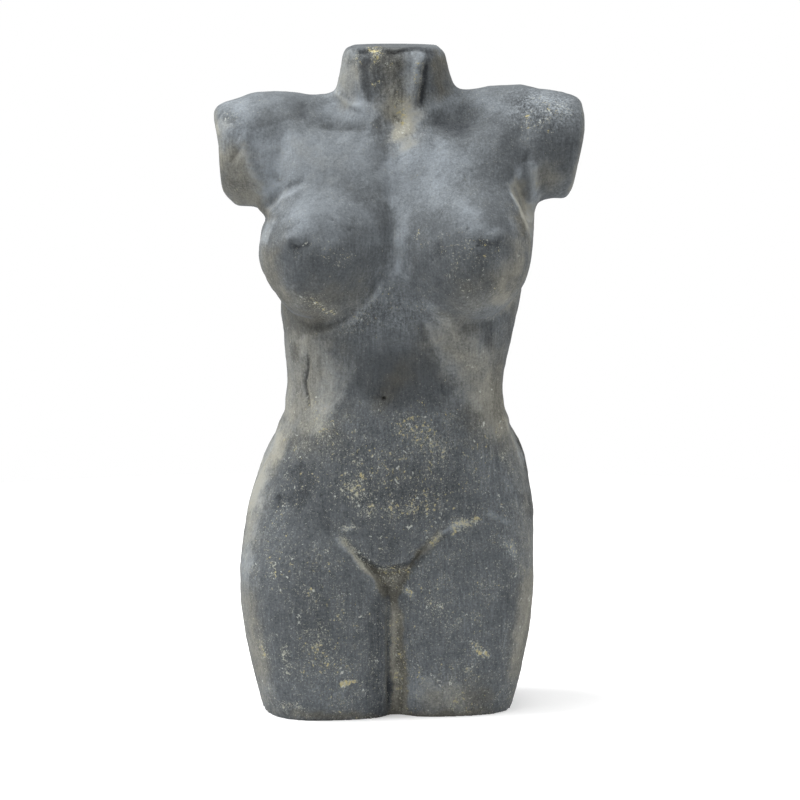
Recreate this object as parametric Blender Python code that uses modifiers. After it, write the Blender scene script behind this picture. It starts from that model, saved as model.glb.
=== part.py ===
# Lava stone torso: a woman's figure from the neck to the upper thighs, cast in one piece.
# The figure faces -Y, its left side is +X, +Z is up, and it stands on its flat underside at z = 0.
# The origin is at the underside, in the middle of the figure's width and depth.

import math
from collections import namedtuple

import bmesh
import bpy
import numpy as np
from mathutils import Matrix, Vector

# Height from the underside to the neck cut, in metres.
HEIGHT = 0.700

# The figure keeps its proportions, so every length below is in steps of a 700th of its height.
# At this height a step is one millimetre.
STEPS_IN_HEIGHT = 700
STEP = HEIGHT / STEPS_IN_HEIGHT

# Rings of points that the skin is lofted through, and the grain of the finished modelling.
RING_GAP = 4
POINTS_IN_RING = 512
SIDE_CROWDING = 0.35
FOOT_OVERRUN = 24
GRAIN = 4.2
RUBBING = 4
FACETS = 9700

# Colour of the dark stone wash, linear.
STONE_COLOUR = (0.072, 0.083, 0.098, 1.0)
STONE_ROUGHNESS = 0.85

# The body is modelled upright and alike on both sides, then posed. In every table "out" is
# the distance from the middle, and "front" and "back" are distances from the plumb line.

# One level section of the trunk, with the power of its outline: 2 is an ellipse, more is squarer.
Section = namedtuple("Section", "height half_width front back power")
TRUNK = (
    Section(-FOOT_OVERRUN, 84, 48, 46, 2.2),
    Section(60, 98, 57, 52, 2.2),
    Section(110, 118, 68, 60, 2.2),
    Section(145, 138, 78, 66, 2.3),
    Section(180, 149, 81, 70, 2.35),
    Section(220, 150, 77, 70, 2.35),
    Section(255, 138, 74, 66, 2.3),
    Section(290, 125, 72, 60, 2.3),
    Section(320, 117, 71, 56, 2.3),
    Section(345, 114, 70, 54, 2.3),
    Section(385, 119, 72, 59, 2.3),
    Section(430, 127, 76, 66, 2.35),
    Section(475, 132, 79, 73, 2.4),
    Section(525, 134, 78, 76, 2.4),
    Section(565, 126, 70, 76, 2.3),
    Section(600, 104, 57, 70, 2.2),
    Section(628, 70, 44, 62, 2.1),
    Section(645, 61, 40, 56, 2.0),
    Section(660, 61, 40, 53, 2.0),
    Section(680, 56, 42, 50, 2.0),
    Section(694, 53, 43, 48, 2.0),
    Section(700, 49, 40, 44, 2.0),
)

# One level section of a thigh, whose middle lies that far out.
ThighSection = namedtuple("ThighSection", "height out half_width front back power")
THIGH = (
    ThighSection(-FOOT_OVERRUN, 64, 62, 67, 64, 2.6),
    ThighSection(0, 66, 66, 73, 70, 2.6),
    ThighSection(50, 71, 73, 81, 77, 2.6),
    ThighSection(100, 75, 78, 86, 80, 2.6),
    ThighSection(140, 77, 78, 84, 78, 2.5),
    ThighSection(180, 79, 72, 77, 74, 2.3),
    ThighSection(225, 76, 60, 58, 60, 2.2),
    ThighSection(280, 72, 36, 30, 34, 2.2),
)
THIGH_INNER_POWER = 3.6
THIGH_BLEND = 12
THIGH_TOP = 280

# One upright section of a shoulder and the stump of its arm.
ArmSection = namedtuple("ArmSection", "out height half_height back half_depth power")
ARM = (
    ArmSection(20, 598, 30, 14, 44, 2.0),
    ArmSection(70, 598, 33, 12, 52, 2.1),
    ArmSection(95, 598, 44, 10, 55, 2.2),
    ArmSection(125, 597, 58, 8, 57, 2.2),
    ArmSection(145, 596, 58, 6, 57, 2.2),
    ArmSection(166, 594, 56, 5, 55, 2.2),
    ArmSection(205, 589, 51, 4, 49, 2.3),
)
ARM_BLEND = 16
SHOULDER_TOP = 655
ARM_CUT_TOP = 196
# How far the cut face runs inwards for each step down, on the figure's right and left arm.
ARM_CUT_LEAN_RIGHT = 0.08
ARM_CUT_LEAN_LEFT = 0.16
ARM_CUT_ROUNDING = 14

# A rounded mass laid on the body. It runs into the rest softly or sharply, below and above.
Mass = namedtuple("Mass", "out back height radii blend_below blend_above")
MASSES = {
    "breast": Mass(77, -54, 489, (65, 65, 71), 6, 40),
    "pectoral": Mass(90, -34, 568, (54, 30, 42), 26, 30),
    "shoulder_blade": Mass(74, 54, 560, (42, 26, 62), 26, 26),
    "neck_slope": Mass(36, 32, 606, (44, 24, 24), 20, 20),
    "belly": Mass(0, -32, 262, (88, 52, 84), 34, 34),
    "groin_mound": Mass(0, -48, 203, (50, 37, 46), 6, 30),
    "buttock": Mass(67, 44, 192, (72, 60, 76), 12, 28),
    "haunch": Mass(94, 28, 230, (50, 42, 80), 14, 12),
}

# A line pressed into the front (side -1) or the back (side 1), as places out and up.
# A negative depth raises a ridge. Lines fade out towards the flanks.
LINE_FADE = 15
Line = namedtuple("Line", "side path width depth")
LINES = {
    "groin": Line(-1, ((64, 204), (42, 186), (20, 163), (6, 134)), 6, 5),
    "crotch": Line(-1, ((0, 150), (0, 130)), 11, 5),
    "navel": Line(-1, ((0, 338), (0, 334)), 5, 8),
    "breastbone": Line(-1, ((0, 615), (0, 450)), 13, 5),
    "belly_midline": Line(-1, ((0, 445), (0, 352)), 9, 2),
    "rib_arch": Line(-1, ((10, 456), (44, 430), (92, 388)), 9, -3),
    "throat_pit": Line(-1, ((0, 636), (0, 628)), 9, 7),
    "collarbone": Line(-1, ((16, 630), (62, 637), (116, 646)), 9, -2),
    "collarbone_hollow": Line(-1, ((46, 616), (88, 620)), 12, 3),
    "deltoid_edge": Line(-1, ((128, 640), (122, 596), (128, 548)), 11, 5),
    "neck_tendon": Line(-1, ((9, 637), (26, 668), (38, 700)), 7, -4),
    "nipple": Line(-1, ((104, 505), (105, 505)), 7, -5),
    "spine": Line(1, ((0, 296), (0, 600)), 13, 7),
    "cleft": Line(1, ((0, 250), (0, 100)), 10, 8),
    "buttock_fold": Line(1, ((22, 116), (66, 110), (112, 124)), 8, 3),
}

# How the posed figure leaves the plumb line: height, sideways shift and turn in degrees.
# A positive turn faces the figure's own left.
Lean = namedtuple("Lean", "height shift turn")
POSE = (
    Lean(0, -7, 9),
    Lean(140, -7, 6),
    Lean(230, -2.5, -2),
    Lean(336, 1, -7.5),
    Lean(430, 5, -6),
    Lean(500, 6.5, -4.5),
    Lean(560, 9, -3),
    Lean(610, 10, -2),
    Lean(640, 4, 0),
    Lean(700, 0, 0),
)
SHOULDER_TILT = math.radians(1.5)
SHOULDER_TILT_FROM = 470
SHOULDER_TILT_FULL = 590
NECK_HALF_WIDTH = 30
SHOULDER_ROOT = 110
# The line of the shoulders dips beside the neck.
DIP_DEPTH = 6
DIP_OUT = 78
DIP_HALF_LENGTH = 26
DIP_FROM = 600
DIP_FULL = 648
# The neck is cut with a fall towards the front.
NECK_CUT_FROM = 676
NECK_CUT_FALL = 0.05
NECK_BACK = 48

# The rings start well outside the figure and close in on it by a share of the gap each time.
FARTHEST = 270
CLOSING_STEPS = 60
CLOSING_SHARE = 0.75
# Keeps a division away from nought.
TINY = 1e-6


def clear_scene():
    for item in list(bpy.data.objects):
        bpy.data.objects.remove(item, do_unlink=True)


def smooth_curve(knots, values, at):
    """A cubic through the values at the knots, with the slope that their neighbours give."""
    slopes = np.gradient(values, knots)
    left = np.clip(np.searchsorted(knots, at) - 1, 0, len(knots) - 2)
    gap = knots[left + 1] - knots[left]
    t = np.clip((at - knots[left]) / gap, 0, 1)
    start = values[left] * (1 + 2 * t) * (1 - t) ** 2 + slopes[left] * gap * t * (1 - t) ** 2
    end = values[left + 1] * t**2 * (3 - 2 * t) - slopes[left + 1] * gap * t**2 * (1 - t)
    return start + end


def between(sections, at):
    """Every measure of the sections but the first, read from smooth curves at the given places."""
    columns = np.array(sections, float).T
    return [smooth_curve(columns[0], column, at) for column in columns[1:]]


def smooth_step(low, high, value):
    t = np.clip((value - low) / (high - low), 0, 1)
    return t * t * (3 - 2 * t)


def blend(one, other, softness):
    """The union of two forms, with a fillet of that softness where they meet."""
    overlap = np.maximum(softness - np.abs(one - other), 0) / softness
    return np.minimum(one, other) - overlap**2 * softness / 4


def outside_oval(a, b, half_a, half_b, power):
    """How far points lie outside an oval about the origin, measured towards its middle."""
    reach = np.hypot(a, b) + TINY
    size = (np.abs(a / half_a) ** power + np.abs(b / half_b) ** power) ** (1 / power) + TINY
    return reach * (1 - 1 / size)


def trunk(out, y, z):
    half_width, front, back, power = between(TRUNK, z)
    return outside_oval(out, y, half_width, np.where(y < 0, front, back), power)


def thigh(out, y, z):
    middle, half_width, front, back, power = between(THIGH, z)
    power = np.where(out < middle, THIGH_INNER_POWER, power)
    skin = outside_oval(out - middle, y, half_width, np.where(y < 0, front, back), power)
    return np.maximum(skin, z - THIGH_TOP)


def arm(x, y, z):
    out = np.abs(x)
    middle, half_height, back, half_depth, power = between(ARM, out)
    skin = outside_oval(z - middle, y - back, half_height, half_depth, power)
    lean = np.where(x < 0, ARM_CUT_LEAN_RIGHT, ARM_CUT_LEAN_LEFT)
    cut = out - ARM_CUT_TOP + lean * (SHOULDER_TOP - z)
    return -blend(-skin, -cut, ARM_CUT_ROUNDING)


def ellipsoid(mass, out, y, z):
    offset = (out - mass.out, y - mass.back, z - mass.height)
    size = np.sqrt(sum((d / r) ** 2 for d, r in zip(offset, mass.radii))) + TINY
    slope = np.sqrt(sum((d / r**2) ** 2 for d, r in zip(offset, mass.radii))) + TINY
    return size * (size - 1) / slope


def distance_to_path(out, z, path):
    """Shortest distance to a chain of straight runs, seen from the front."""
    nearest = np.full(out.shape, np.inf)
    for (a, b), (c, d) in zip(path, path[1:]):
        run = np.array((c - a, d - b), float)
        share = np.clip(((out - a) * run[0] + (z - b) * run[1]) / (run @ run), 0, 1)
        nearest = np.minimum(nearest, np.hypot(out - a - share * run[0], z - b - share * run[1]))
    return nearest


def body(x, y, z):
    """How far points lie outside the skin of the upright figure, negative inside, in steps."""
    out = np.abs(x)
    skin = blend(trunk(out, y, z), arm(x, y, z), ARM_BLEND)
    skin = blend(skin, thigh(out, y, z), THIGH_BLEND)
    for mass in MASSES.values():
        low, high = mass.height - mass.radii[2] / 2, mass.height + mass.radii[2] / 2
        rise = smooth_step(low, high, z)
        softness = mass.blend_below + (mass.blend_above - mass.blend_below) * rise
        skin = blend(skin, ellipsoid(mass, out, y, z), softness)
    for line in LINES.values():
        seen = smooth_step(-LINE_FADE, LINE_FADE, line.side * y)
        gap = distance_to_path(out, z, line.path)
        skin = skin + line.depth * np.exp(-((gap / line.width) ** 2)) * seen
    return skin


def rings():
    """Level rings of points on the skin, found by closing in on it from all round."""
    heights = np.arange(-FOOT_OVERRUN, STEPS_IN_HEIGHT + 1, RING_GAP, dtype=float)
    turn = np.linspace(0, 2 * math.pi, POINTS_IN_RING, endpoint=False)
    # The points crowd towards the arms, which the rays meet at a slant.
    turn = turn - SIDE_CROWDING * np.sin(2 * turn)
    turn, z = np.meshgrid(turn, heights)
    reach = np.full(turn.shape, float(FARTHEST))
    for _ in range(CLOSING_STEPS):
        reach -= CLOSING_SHARE * body(reach * np.cos(turn), reach * np.sin(turn), z)
    return np.stack((reach * np.cos(turn), reach * np.sin(turn), z), axis=-1)


def posed(points):
    """Bends the upright figure into its stance: hips and chest turned apart, one shoulder up."""
    x, y, z = np.moveaxis(points, -1, 0)
    shift, turn = between(POSE, z)
    turn = np.radians(turn)
    lift = smooth_step(SHOULDER_TILT_FROM, SHOULDER_TILT_FULL, z)
    reach = x * smooth_step(NECK_HALF_WIDTH, SHOULDER_ROOT, np.abs(x))
    fall = NECK_CUT_FALL * (NECK_BACK - y) * smooth_step(NECK_CUT_FROM, STEPS_IN_HEIGHT, z)
    beside_neck = np.exp(-(((np.abs(x) - DIP_OUT) / DIP_HALF_LENGTH) ** 2))
    dip = DIP_DEPTH * beside_neck * smooth_step(DIP_FROM, DIP_FULL, z)
    moved = (
        x * np.cos(turn) - y * np.sin(turn) + shift,
        x * np.sin(turn) + y * np.cos(turn),
        z + reach * math.tan(SHOULDER_TILT) * lift - fall - dip,
    )
    return np.stack(moved, axis=-1)


def centred(points):
    """The points moved so that what stands above the ground is centred on the origin."""
    above = points[points[..., 2] >= 0]
    middle = (above.min(axis=0) + above.max(axis=0)) / 2
    middle[2] = 0
    return points - middle


def loft(levels):
    """A closed mesh through the rings of points, capped at both ends."""
    shape = bmesh.new()
    rows = [[shape.verts.new(Vector(point) * STEP) for point in ring] for ring in levels]
    for lower, upper in zip(rows, rows[1:]):
        for i in range(POINTS_IN_RING):
            j = (i + 1) % POINTS_IN_RING
            shape.faces.new((lower[i], lower[j], upper[j], upper[i]))
    shape.faces.new(list(reversed(rows[0])))
    shape.faces.new(rows[-1])
    for face in shape.faces:
        face.smooth = True
    mesh = bpy.data.meshes.new("torso")
    shape.to_mesh(mesh)
    shape.free()
    return mesh


def stone():
    material = bpy.data.materials.new("lava_stone")
    material.use_nodes = True
    shader = material.node_tree.nodes["Principled BSDF"]
    shader.inputs["Base Color"].default_value = STONE_COLOUR
    shader.inputs["Roughness"].default_value = STONE_ROUGHNESS
    shader.inputs["Metallic"].default_value = 0.0
    return material


def ground_cutter(collection):
    """A block below the ground, which leaves the underside flat."""
    shape = bmesh.new()
    bmesh.ops.create_cube(shape, size=HEIGHT, matrix=Matrix.Translation((0, 0, -HEIGHT / 2)))
    mesh = bpy.data.meshes.new("ground")
    shape.to_mesh(mesh)
    shape.free()
    cutter = bpy.data.objects.new("ground", mesh)
    cutter.hide_render = True
    cutter.display_type = "WIRE"
    collection.objects.link(cutter)
    return cutter


def new_collection(name):
    collection = bpy.data.collections.new(name)
    bpy.context.scene.collection.children.link(collection)
    return collection


def finish(torso, cutter):
    """Evens out the modelling, brings it down to its facets and levels the underside."""
    even = torso.modifiers.new("Even", "REMESH")
    even.mode = "VOXEL"
    even.voxel_size = GRAIN * STEP
    even.use_smooth_shade = True
    rub = torso.modifiers.new("Rub", "SMOOTH")
    rub.factor = 0.5
    rub.iterations = RUBBING
    graph = bpy.context.evaluated_depsgraph_get()
    faces = len(torso.evaluated_get(graph).data.polygons)
    facet = torso.modifiers.new("Facet", "DECIMATE")
    facet.ratio = FACETS / (2 * faces)
    level = torso.modifiers.new("Level", "BOOLEAN")
    level.operation = "DIFFERENCE"
    level.solver = "EXACT"
    level.object = cutter


def main():
    clear_scene()
    parts = new_collection("lava_stone_torso")
    cutters = new_collection("cutters")
    mesh = loft(centred(posed(rings())))
    mesh.materials.append(stone())
    torso = bpy.data.objects.new("torso", mesh)
    parts.objects.link(torso)
    finish(torso, ground_cutter(cutters))


main()
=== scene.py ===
import math
import random

import bmesh
import bpy
import numpy as np
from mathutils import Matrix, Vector


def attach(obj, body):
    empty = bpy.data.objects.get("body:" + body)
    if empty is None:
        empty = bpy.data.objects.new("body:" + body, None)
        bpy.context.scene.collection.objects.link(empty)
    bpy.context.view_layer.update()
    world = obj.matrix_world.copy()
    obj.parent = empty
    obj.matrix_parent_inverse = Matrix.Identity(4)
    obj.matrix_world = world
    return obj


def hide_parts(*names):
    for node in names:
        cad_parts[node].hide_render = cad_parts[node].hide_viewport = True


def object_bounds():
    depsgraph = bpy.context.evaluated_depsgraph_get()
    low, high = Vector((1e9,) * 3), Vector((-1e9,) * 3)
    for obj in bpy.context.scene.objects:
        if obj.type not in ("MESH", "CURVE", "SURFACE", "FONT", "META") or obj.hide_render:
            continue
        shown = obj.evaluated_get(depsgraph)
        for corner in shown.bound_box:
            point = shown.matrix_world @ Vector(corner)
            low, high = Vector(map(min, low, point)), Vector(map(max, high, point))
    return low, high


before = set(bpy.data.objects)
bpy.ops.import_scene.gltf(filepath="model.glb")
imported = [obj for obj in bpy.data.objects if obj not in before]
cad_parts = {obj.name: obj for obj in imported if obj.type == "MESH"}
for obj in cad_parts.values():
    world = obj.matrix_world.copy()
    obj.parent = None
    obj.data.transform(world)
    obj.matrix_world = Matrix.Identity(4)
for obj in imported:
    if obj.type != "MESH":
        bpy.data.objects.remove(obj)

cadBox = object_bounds()
print("frame loaded")

# everything placed by a picture point goes through these numbers
view = {
    "place": (0.001, -4.0, 0.88),  # m
    "aim": (0.001, 0.0, 0.328),
    "lens": 172.8,  # mm, on a sensor 36 mm wide
    "sensor": 36.0,
    "picture": 800,  # pixels, wide and high
}


def makeCamera(v):
    data = bpy.data.cameras.new("camera")
    data.lens = v["lens"]
    data.sensor_width = v["sensor"]
    cam = bpy.data.objects.new("camera", data)
    cam.location = v["place"]
    cam.rotation_euler = (Vector(v["aim"]) - Vector(v["place"])).to_track_quat("-Z", "Y").to_euler()
    bpy.context.collection.objects.link(cam)
    bpy.context.scene.camera = cam


makeCamera(view)

eye = np.array(view["place"])
ahead = np.array(view["aim"]) - eye
ahead = ahead / np.linalg.norm(ahead)
across = np.array((1.0, 0.0, 0.0))
upward = np.cross(across, ahead)
reach = view["lens"] / view["sensor"] * view["picture"]
middle = view["picture"] / 2


# picture points of an array of places on the stone
def seen(places):
    away = places - eye
    depth = away @ ahead
    return np.stack((middle + reach * (away @ across) / depth, middle - reach * (away @ upward) / depth), 1)


def ease(x):
    x = np.clip(x, 0.0, 1.0)
    return x * x * (3 - 2 * x)


def softStep(low, high, x):
    return ease((x - low) / (high - low))


# least distance of each picture point to a path, and how far along the path it lies, 0 to 1
def alongPath(points, path):
    path = np.array(path, float)
    if len(path) == 1:
        return np.linalg.norm(points - path[0], axis=1), np.full(len(points), 0.5)
    spans = np.linalg.norm(path[1:] - path[:-1], axis=1)
    starts = np.concatenate(((0.0,), np.cumsum(spans)))
    best = np.full(len(points), np.inf)
    share = np.zeros(len(points))
    for i, span in enumerate(spans):
        step = (path[i + 1] - path[i]) / span
        t = np.clip((points - path[i]) @ step, 0.0, span)
        d = np.linalg.norm(points - path[i] - t[:, None] * step, axis=1)
        near = d < best
        best[near] = d[near]
        share[near] = ((starts[i] + t) / starts[-1])[near]
    return best, share


# a rounded path through its points, so a stroke has no corners
def rounded(path, steps=6):
    if len(path) < 3:
        return path
    p = np.array([path[0]] + list(path) + [path[-1]], float)
    out = []
    for i in range(1, len(p) - 2):
        for k in range(steps):
            t = k / steps
            a, b, c, d = p[i - 1], p[i], p[i + 1], p[i + 2]
            bend = (2 * a - 5 * b + 4 * c - d) * t * t + (3 * b - a - 3 * c + d) * t ** 3
            out.append(0.5 * (2 * b + (c - a) * t + bend))
    out.append(p[-2])
    return out


# the points that lie within a margin round a path
def around(points, line, margin):
    line = np.array(line, float)
    return np.all((points > line.min(0) - margin) & (points < line.max(0) + margin), axis=1)


tip = {
    "reach": 3,  # half widths, past which a stroke is left out
    "softFall": 2.0,  # how steeply the strength falls across the width
    "crispFall": 2.6,
    "crispBelow": 5,  # px, half width up to which a stroke of paint is crisp
    "longFrom": 4,  # half widths: a longer stroke thins towards its ends
    "taper": 0.25,  # share of its length that thins at each end
    "blunt": 0.15,  # how far from nothing the thinning starts
}


# strength of a stroke on each vertex: soft across its width; a long one thins towards its ends
def stroke(points, path, width, fall=tip["softFall"]):
    line = rounded(path)
    near = around(points, line, tip["reach"] * width)
    d, t = alongPath(points[near], line)
    k = np.exp(-(d / width) ** fall)
    span = sum(math.dist(a, b) for a, b in zip(path, path[1:]))
    if span > tip["longFrom"] * width:
        k = k * ease(np.minimum(t, 1 - t) / tip["taper"] + tip["blunt"])
    strength = np.zeros(len(points))
    strength[near] = k
    return strength


# strength of a patch: 1 inside its outline, 0 outside, soft over its edge
def patch(points, outline, edge):
    line = [tuple(p) for p in rounded(list(outline) + [outline[0]])]
    near = around(points, line, edge + 1)
    spots = points[near]
    inside = np.zeros(len(spots), bool)
    for (ax, ay), (bx, by) in zip(line, line[1:]):
        if ay != by:
            level = (ay > spots[:, 1]) != (by > spots[:, 1])
            inside ^= level & (spots[:, 0] < (bx - ax) * (spots[:, 1] - ay) / (by - ay) + ax)
    d = alongPath(spots, line)[0]
    strength = np.zeros(len(points))
    strength[near] = softStep(-edge, edge, np.where(inside, d, -d))
    return strength


stone = {
    "weld": 1e-5,  # m, joins the solid's loose triangles
    "voxel": 0.0034,  # m, size of the mesh's squares, halved along the narrow strokes
    "rubbing": (0.5, 8),  # strength and rounds of smoothing, which take out the solid's flat facets
    # half width in px below which squares are halved, and how many half widths round the stroke
    "halved": {"carving": (5.5, 1.3), "pinholes": (2.0, 2.0)},
    "halvedRim": 1.5,  # px more round each stroke
    "halvedFacing": 0.05,  # least share in which a halved square faces the eye
    "carvedFacing": (0.05, 0.45),  # share in which a spot faces the eye: no carving below, all above
    "floorBand": (0.0035, 0.55),  # m high, and the share facing down, where the underside is pressed flat
    "neckLift": (0.0035, 0.670, 0.692),  # m the neck's cut is raised, from and to which height it grows
}
mm = 0.001  # m


def makeStone(node, s):
    bm = bmesh.new()
    bm.from_mesh(node.data)
    bmesh.ops.remove_doubles(bm, verts=bm.verts, dist=s["weld"])
    mesh = bpy.data.meshes.new("torso_stone")
    bm.to_mesh(mesh)
    bm.free()
    piece = bpy.data.objects.new("torso_stone", mesh)
    bpy.context.collection.objects.link(piece)
    grid = piece.modifiers.new("grid", "REMESH")
    grid.mode = "VOXEL"
    grid.voxel_size = s["voxel"]
    rub = piece.modifiers.new("rub", "SMOOTH")
    rub.factor, rub.iterations = s["rubbing"]
    shaped = piece.evaluated_get(bpy.context.evaluated_depsgraph_get())
    piece.data = bpy.data.meshes.new_from_object(shaped)
    piece.data.name = "torso_stone"
    piece.modifiers.clear()
    piece.data.materials.clear()
    piece.data.shade_smooth()
    return piece


torso = makeStone(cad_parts["torso"], stone)


def placesOf(piece):
    flat = np.empty(len(piece.data.vertices) * 3, np.float32)
    piece.data.vertices.foreach_get("co", flat)
    return flat.reshape(-1, 3).astype(float)


def facingOf(piece):
    flat = np.empty(len(piece.data.vertices) * 3, np.float32)
    piece.data.vertex_normals.foreach_get("vector", flat)
    return flat.reshape(-1, 3).astype(float)


def setPlaces(piece, places):
    piece.data.vertices.foreach_set("co", places.astype(np.float32).ravel())
    piece.data.update()


# paths that are carved as well as painted
neckRimLine = [(351, 50), (360, 53), (368, 51.5), (374, 49), (380, 49), (387, 52.5), (394, 53.5),
               (401, 52), (410, 50), (418, 49), (427, 52), (438, 54)]
flankCrack = [(307, 350), (309, 366), (306, 384), (309, 400), (311, 412)]
armFacet = [(230, 164), (236, 154), (243, 146)]

# strokes of the carving: path in picture points, half width in pixels, depth in mm (below 0 cuts in)
carving = {
    "breastbone furrow": ([(378, 114), (385, 145), (389, 172), (390, 200), (388, 228), (382, 262)],
                          4.5, -1.5),
    "breastbone": ([(404, 138), (405, 175), (404, 215)], 9, 1.8),
    "between the breasts": ([(402, 226), (401, 258)], 20, 8.0),
    "notch of the throat": ([(397, 118)], 4.0, -1.0),
    "notch rim": ([(410, 124), (404, 136)], 6, 1.4),
    "neck rim": ([(353, 46), (361, 49), (368, 47.5), (374, 44.5), (380, 44.5), (387, 48), (394, 49),
                  (401, 47.5), (410, 46), (418, 44.5), (427, 47.5), (436, 50)], 2.4, 1.0),
    "neck rim shade": (neckRimLine, 2.6, -2.2),
    "left neck edge": ([(358, 57), (360, 74), (363, 90), (369, 104)], 4, 1.6),
    "left neck furrow": ([(365, 58), (368, 80), (374, 104)], 4, -1.8),
    "neck middle": ([(382, 62), (386, 84)], 12, -1.4),
    "right tendon": ([(418, 55), (416, 80), (412, 104)], 5, 3.2),
    "right tendon furrow": ([(428, 58), (424, 82), (420, 109)], 3.0, -3.8),
    "windpipe": ([(397, 64), (397, 86)], 9, 1.2),
    "left neck foot": ([(334, 90), (348, 101), (366, 110)], 4, 1.8),
    "left collarbone": ([(306, 116), (340, 121), (372, 121)], 6, 1.6),
    "left collarbone line": ([(318, 127), (340, 129), (366, 130)], 3, -1.4),
    "right collarbone": ([(424, 110), (455, 104), (492, 103)], 7, 1.8),
    "right collarbone hollow": ([(432, 118), (455, 123), (480, 120)], 8, -2.2),
    "left shoulder furrow": ([(307, 98), (302, 110), (294, 124)], 6, -1.4),
    "left shoulder ridge": ([(286, 112), (276, 134), (276, 158)], 8, 1.2),
    "left breast crease": ([(277, 296), (296, 315), (318, 326), (345, 316), (365, 299), (377, 277),
                            (383, 262)], 4, -2.8),
    "left rib fold": ([(388, 268), (380, 285), (366, 305), (345, 322), (318, 334)], 5, 2.0),
    "rib arch lip": ([(384, 273), (402, 271), (422, 279)], 5, 1.0),
    "right breast crease": ([(412, 268), (424, 284), (444, 301), (464, 318), (486, 322), (504, 312),
                             (522, 288)], 4.5, -2.4),
    "right rib fold": ([(418, 296), (438, 316), (458, 332), (482, 334)], 6, 1.2),
    "left breast edge": ([(262, 212), (270, 202), (279, 194), (293, 186), (308, 182)], 4, -2.2),
    "left breast rim": ([(267, 218), (276, 206), (288, 197), (302, 191)], 4.5, 1.8),
    "left armpit": ([(262, 178), (266, 198)], 6, -1.4),
    "right flank behind": ([(518, 172), (526, 194), (532, 216)], 6, -4.6),
    "right breast edge": ([(512, 184), (520, 199), (527, 213), (533, 230)], 2.6, -2.8),
    "right breast rim": ([(529, 238), (522, 219), (514, 203), (506, 190)], 4, 2.2),
    "right arm groove": ([(519, 126), (512, 146), (503, 164)], 8, -1.4),
    "right arm fold": ([(530, 146), (526, 164), (524, 184)], 3.4, -1.3),
    "right arm fold lip": ([(535, 156), (533, 176), (533, 198)], 4, 1.8),
    "right shoulder ball": ([(549, 116)], 25, 3.2),
    "right stump hollow": ([(550, 160), (546, 182)], 9, -2.0),
    "left arm groove": ([(256, 130), (254, 152), (262, 178)], 6, -1.2),
    "left arm facet": (armFacet, 3, -1.4),
    "left arm ridge": ([(240, 128), (246, 154), (257, 178), (265, 198)], 5, 1.6),
    "left stump ring": ([(222, 114), (228, 109), (235, 113), (234, 121), (227, 124), (221, 120),
                         (222, 114)], 1.8, -0.8),
    "left nipple": ([(292, 239)], 6, 4.4),
    "left nipple under": ([(288, 246), (300, 247), (313, 244)], 3.6, -0.9),
    "right nipple": ([(501, 236)], 6, 4.4),
    "right nipple under": ([(478, 244), (492, 247), (507, 245)], 3.6, -0.9),
    "belly": ([(394, 350), (393, 385)], 38, 1.6),
    "right belly edge": ([(424, 324), (434, 350), (450, 374), (460, 392)], 5, -1.8),
    "left belly edge": ([(316, 334), (334, 358), (341, 380), (336, 404)], 5, -1.6),
    "navel": ([(384, 398)], 2.4, -2.6),
    "navel lip": ([(380, 402), (389, 401)], 2.2, 1.0),
    "left groin": ([(332, 530), (342, 540), (353, 550), (364, 561), (375, 573), (385, 588),
                    (390, 602)], 2.6, -2.6),
    "left groin lip": ([(338, 543), (350, 555), (362, 567), (374, 582), (381, 594)], 3.0, 1.8),
    "right groin": ([(459, 525), (444, 533), (432, 543), (421, 555), (411, 568), (403, 584),
                     (397, 598)], 2.6, -2.6),
    "right groin lip": ([(449, 537), (436, 548), (424, 562), (414, 576)], 3.0, 1.2),
    "mound": ([(378, 546), (402, 546)], 15, 2.2),
    "mound edge": ([(358, 551), (370, 559), (382, 562), (394, 562), (407, 558), (420, 549)], 3, 1.8),
    "hollow under the mound": ([(368, 568), (380, 571), (393, 572), (406, 569)], 3.4, -2.8),
    "hollow middle": ([(391, 586)], 7, -2.4),
    "thigh groove": ([(390, 594), (389, 620), (389.5, 660), (390, 718)], 2.6, -3.6),
    "left thigh edge": ([(383, 606), (383, 650), (383, 714)], 4.5, 2.4),
    "right thigh slope": ([(399, 606), (400, 650), (401, 714)], 6, -1.8),
    "right hip edge": ([(502, 408), (509, 430), (518, 450), (524, 468)], 3.2, 1.8),
    "right hip furrow": ([(507, 410), (516, 434), (524, 456), (529, 486), (532, 520)], 3.0, -3.4),
    "left hip furrow": ([(286, 414), (274, 438), (264, 460)], 3.6, -2.2),
    "left hip edge": ([(286, 428), (285, 456), (276, 494), (268, 520)], 6, 1.4),
    "left flank furrow": (flankCrack, 1.9, -1.3),
    "left flank second furrow": ([(321, 350), (322, 380)], 3, -0.8),
    "left edge chip": ([(241, 606), (243, 613)], 3, -2.2),
    "base pit": ([(284, 705), (291, 704)], 2.6, -2.6),
    "base corner chip": ([(264, 709), (270, 711)], 3, -2.0),
    "left hip dent": ([(280, 494), (278, 512)], 4, -0.9),
}

pinholes = {
    "spots": [(299, 223), (332, 220), (350, 230), (472, 171), (539, 97), (547, 112), (545, 117), (468, 229),
              (457, 108), (396, 91), (395, 117), (399, 121), (394, 122), (402, 124), (239, 99), (384, 397),
              (384, 81), (408, 66), (551, 131), (530, 112), (478, 246), (296, 245), (433, 260), (312, 300)],
    "width": 1.3,  # px
    "depth": -1.4,  # mm
}

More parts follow.
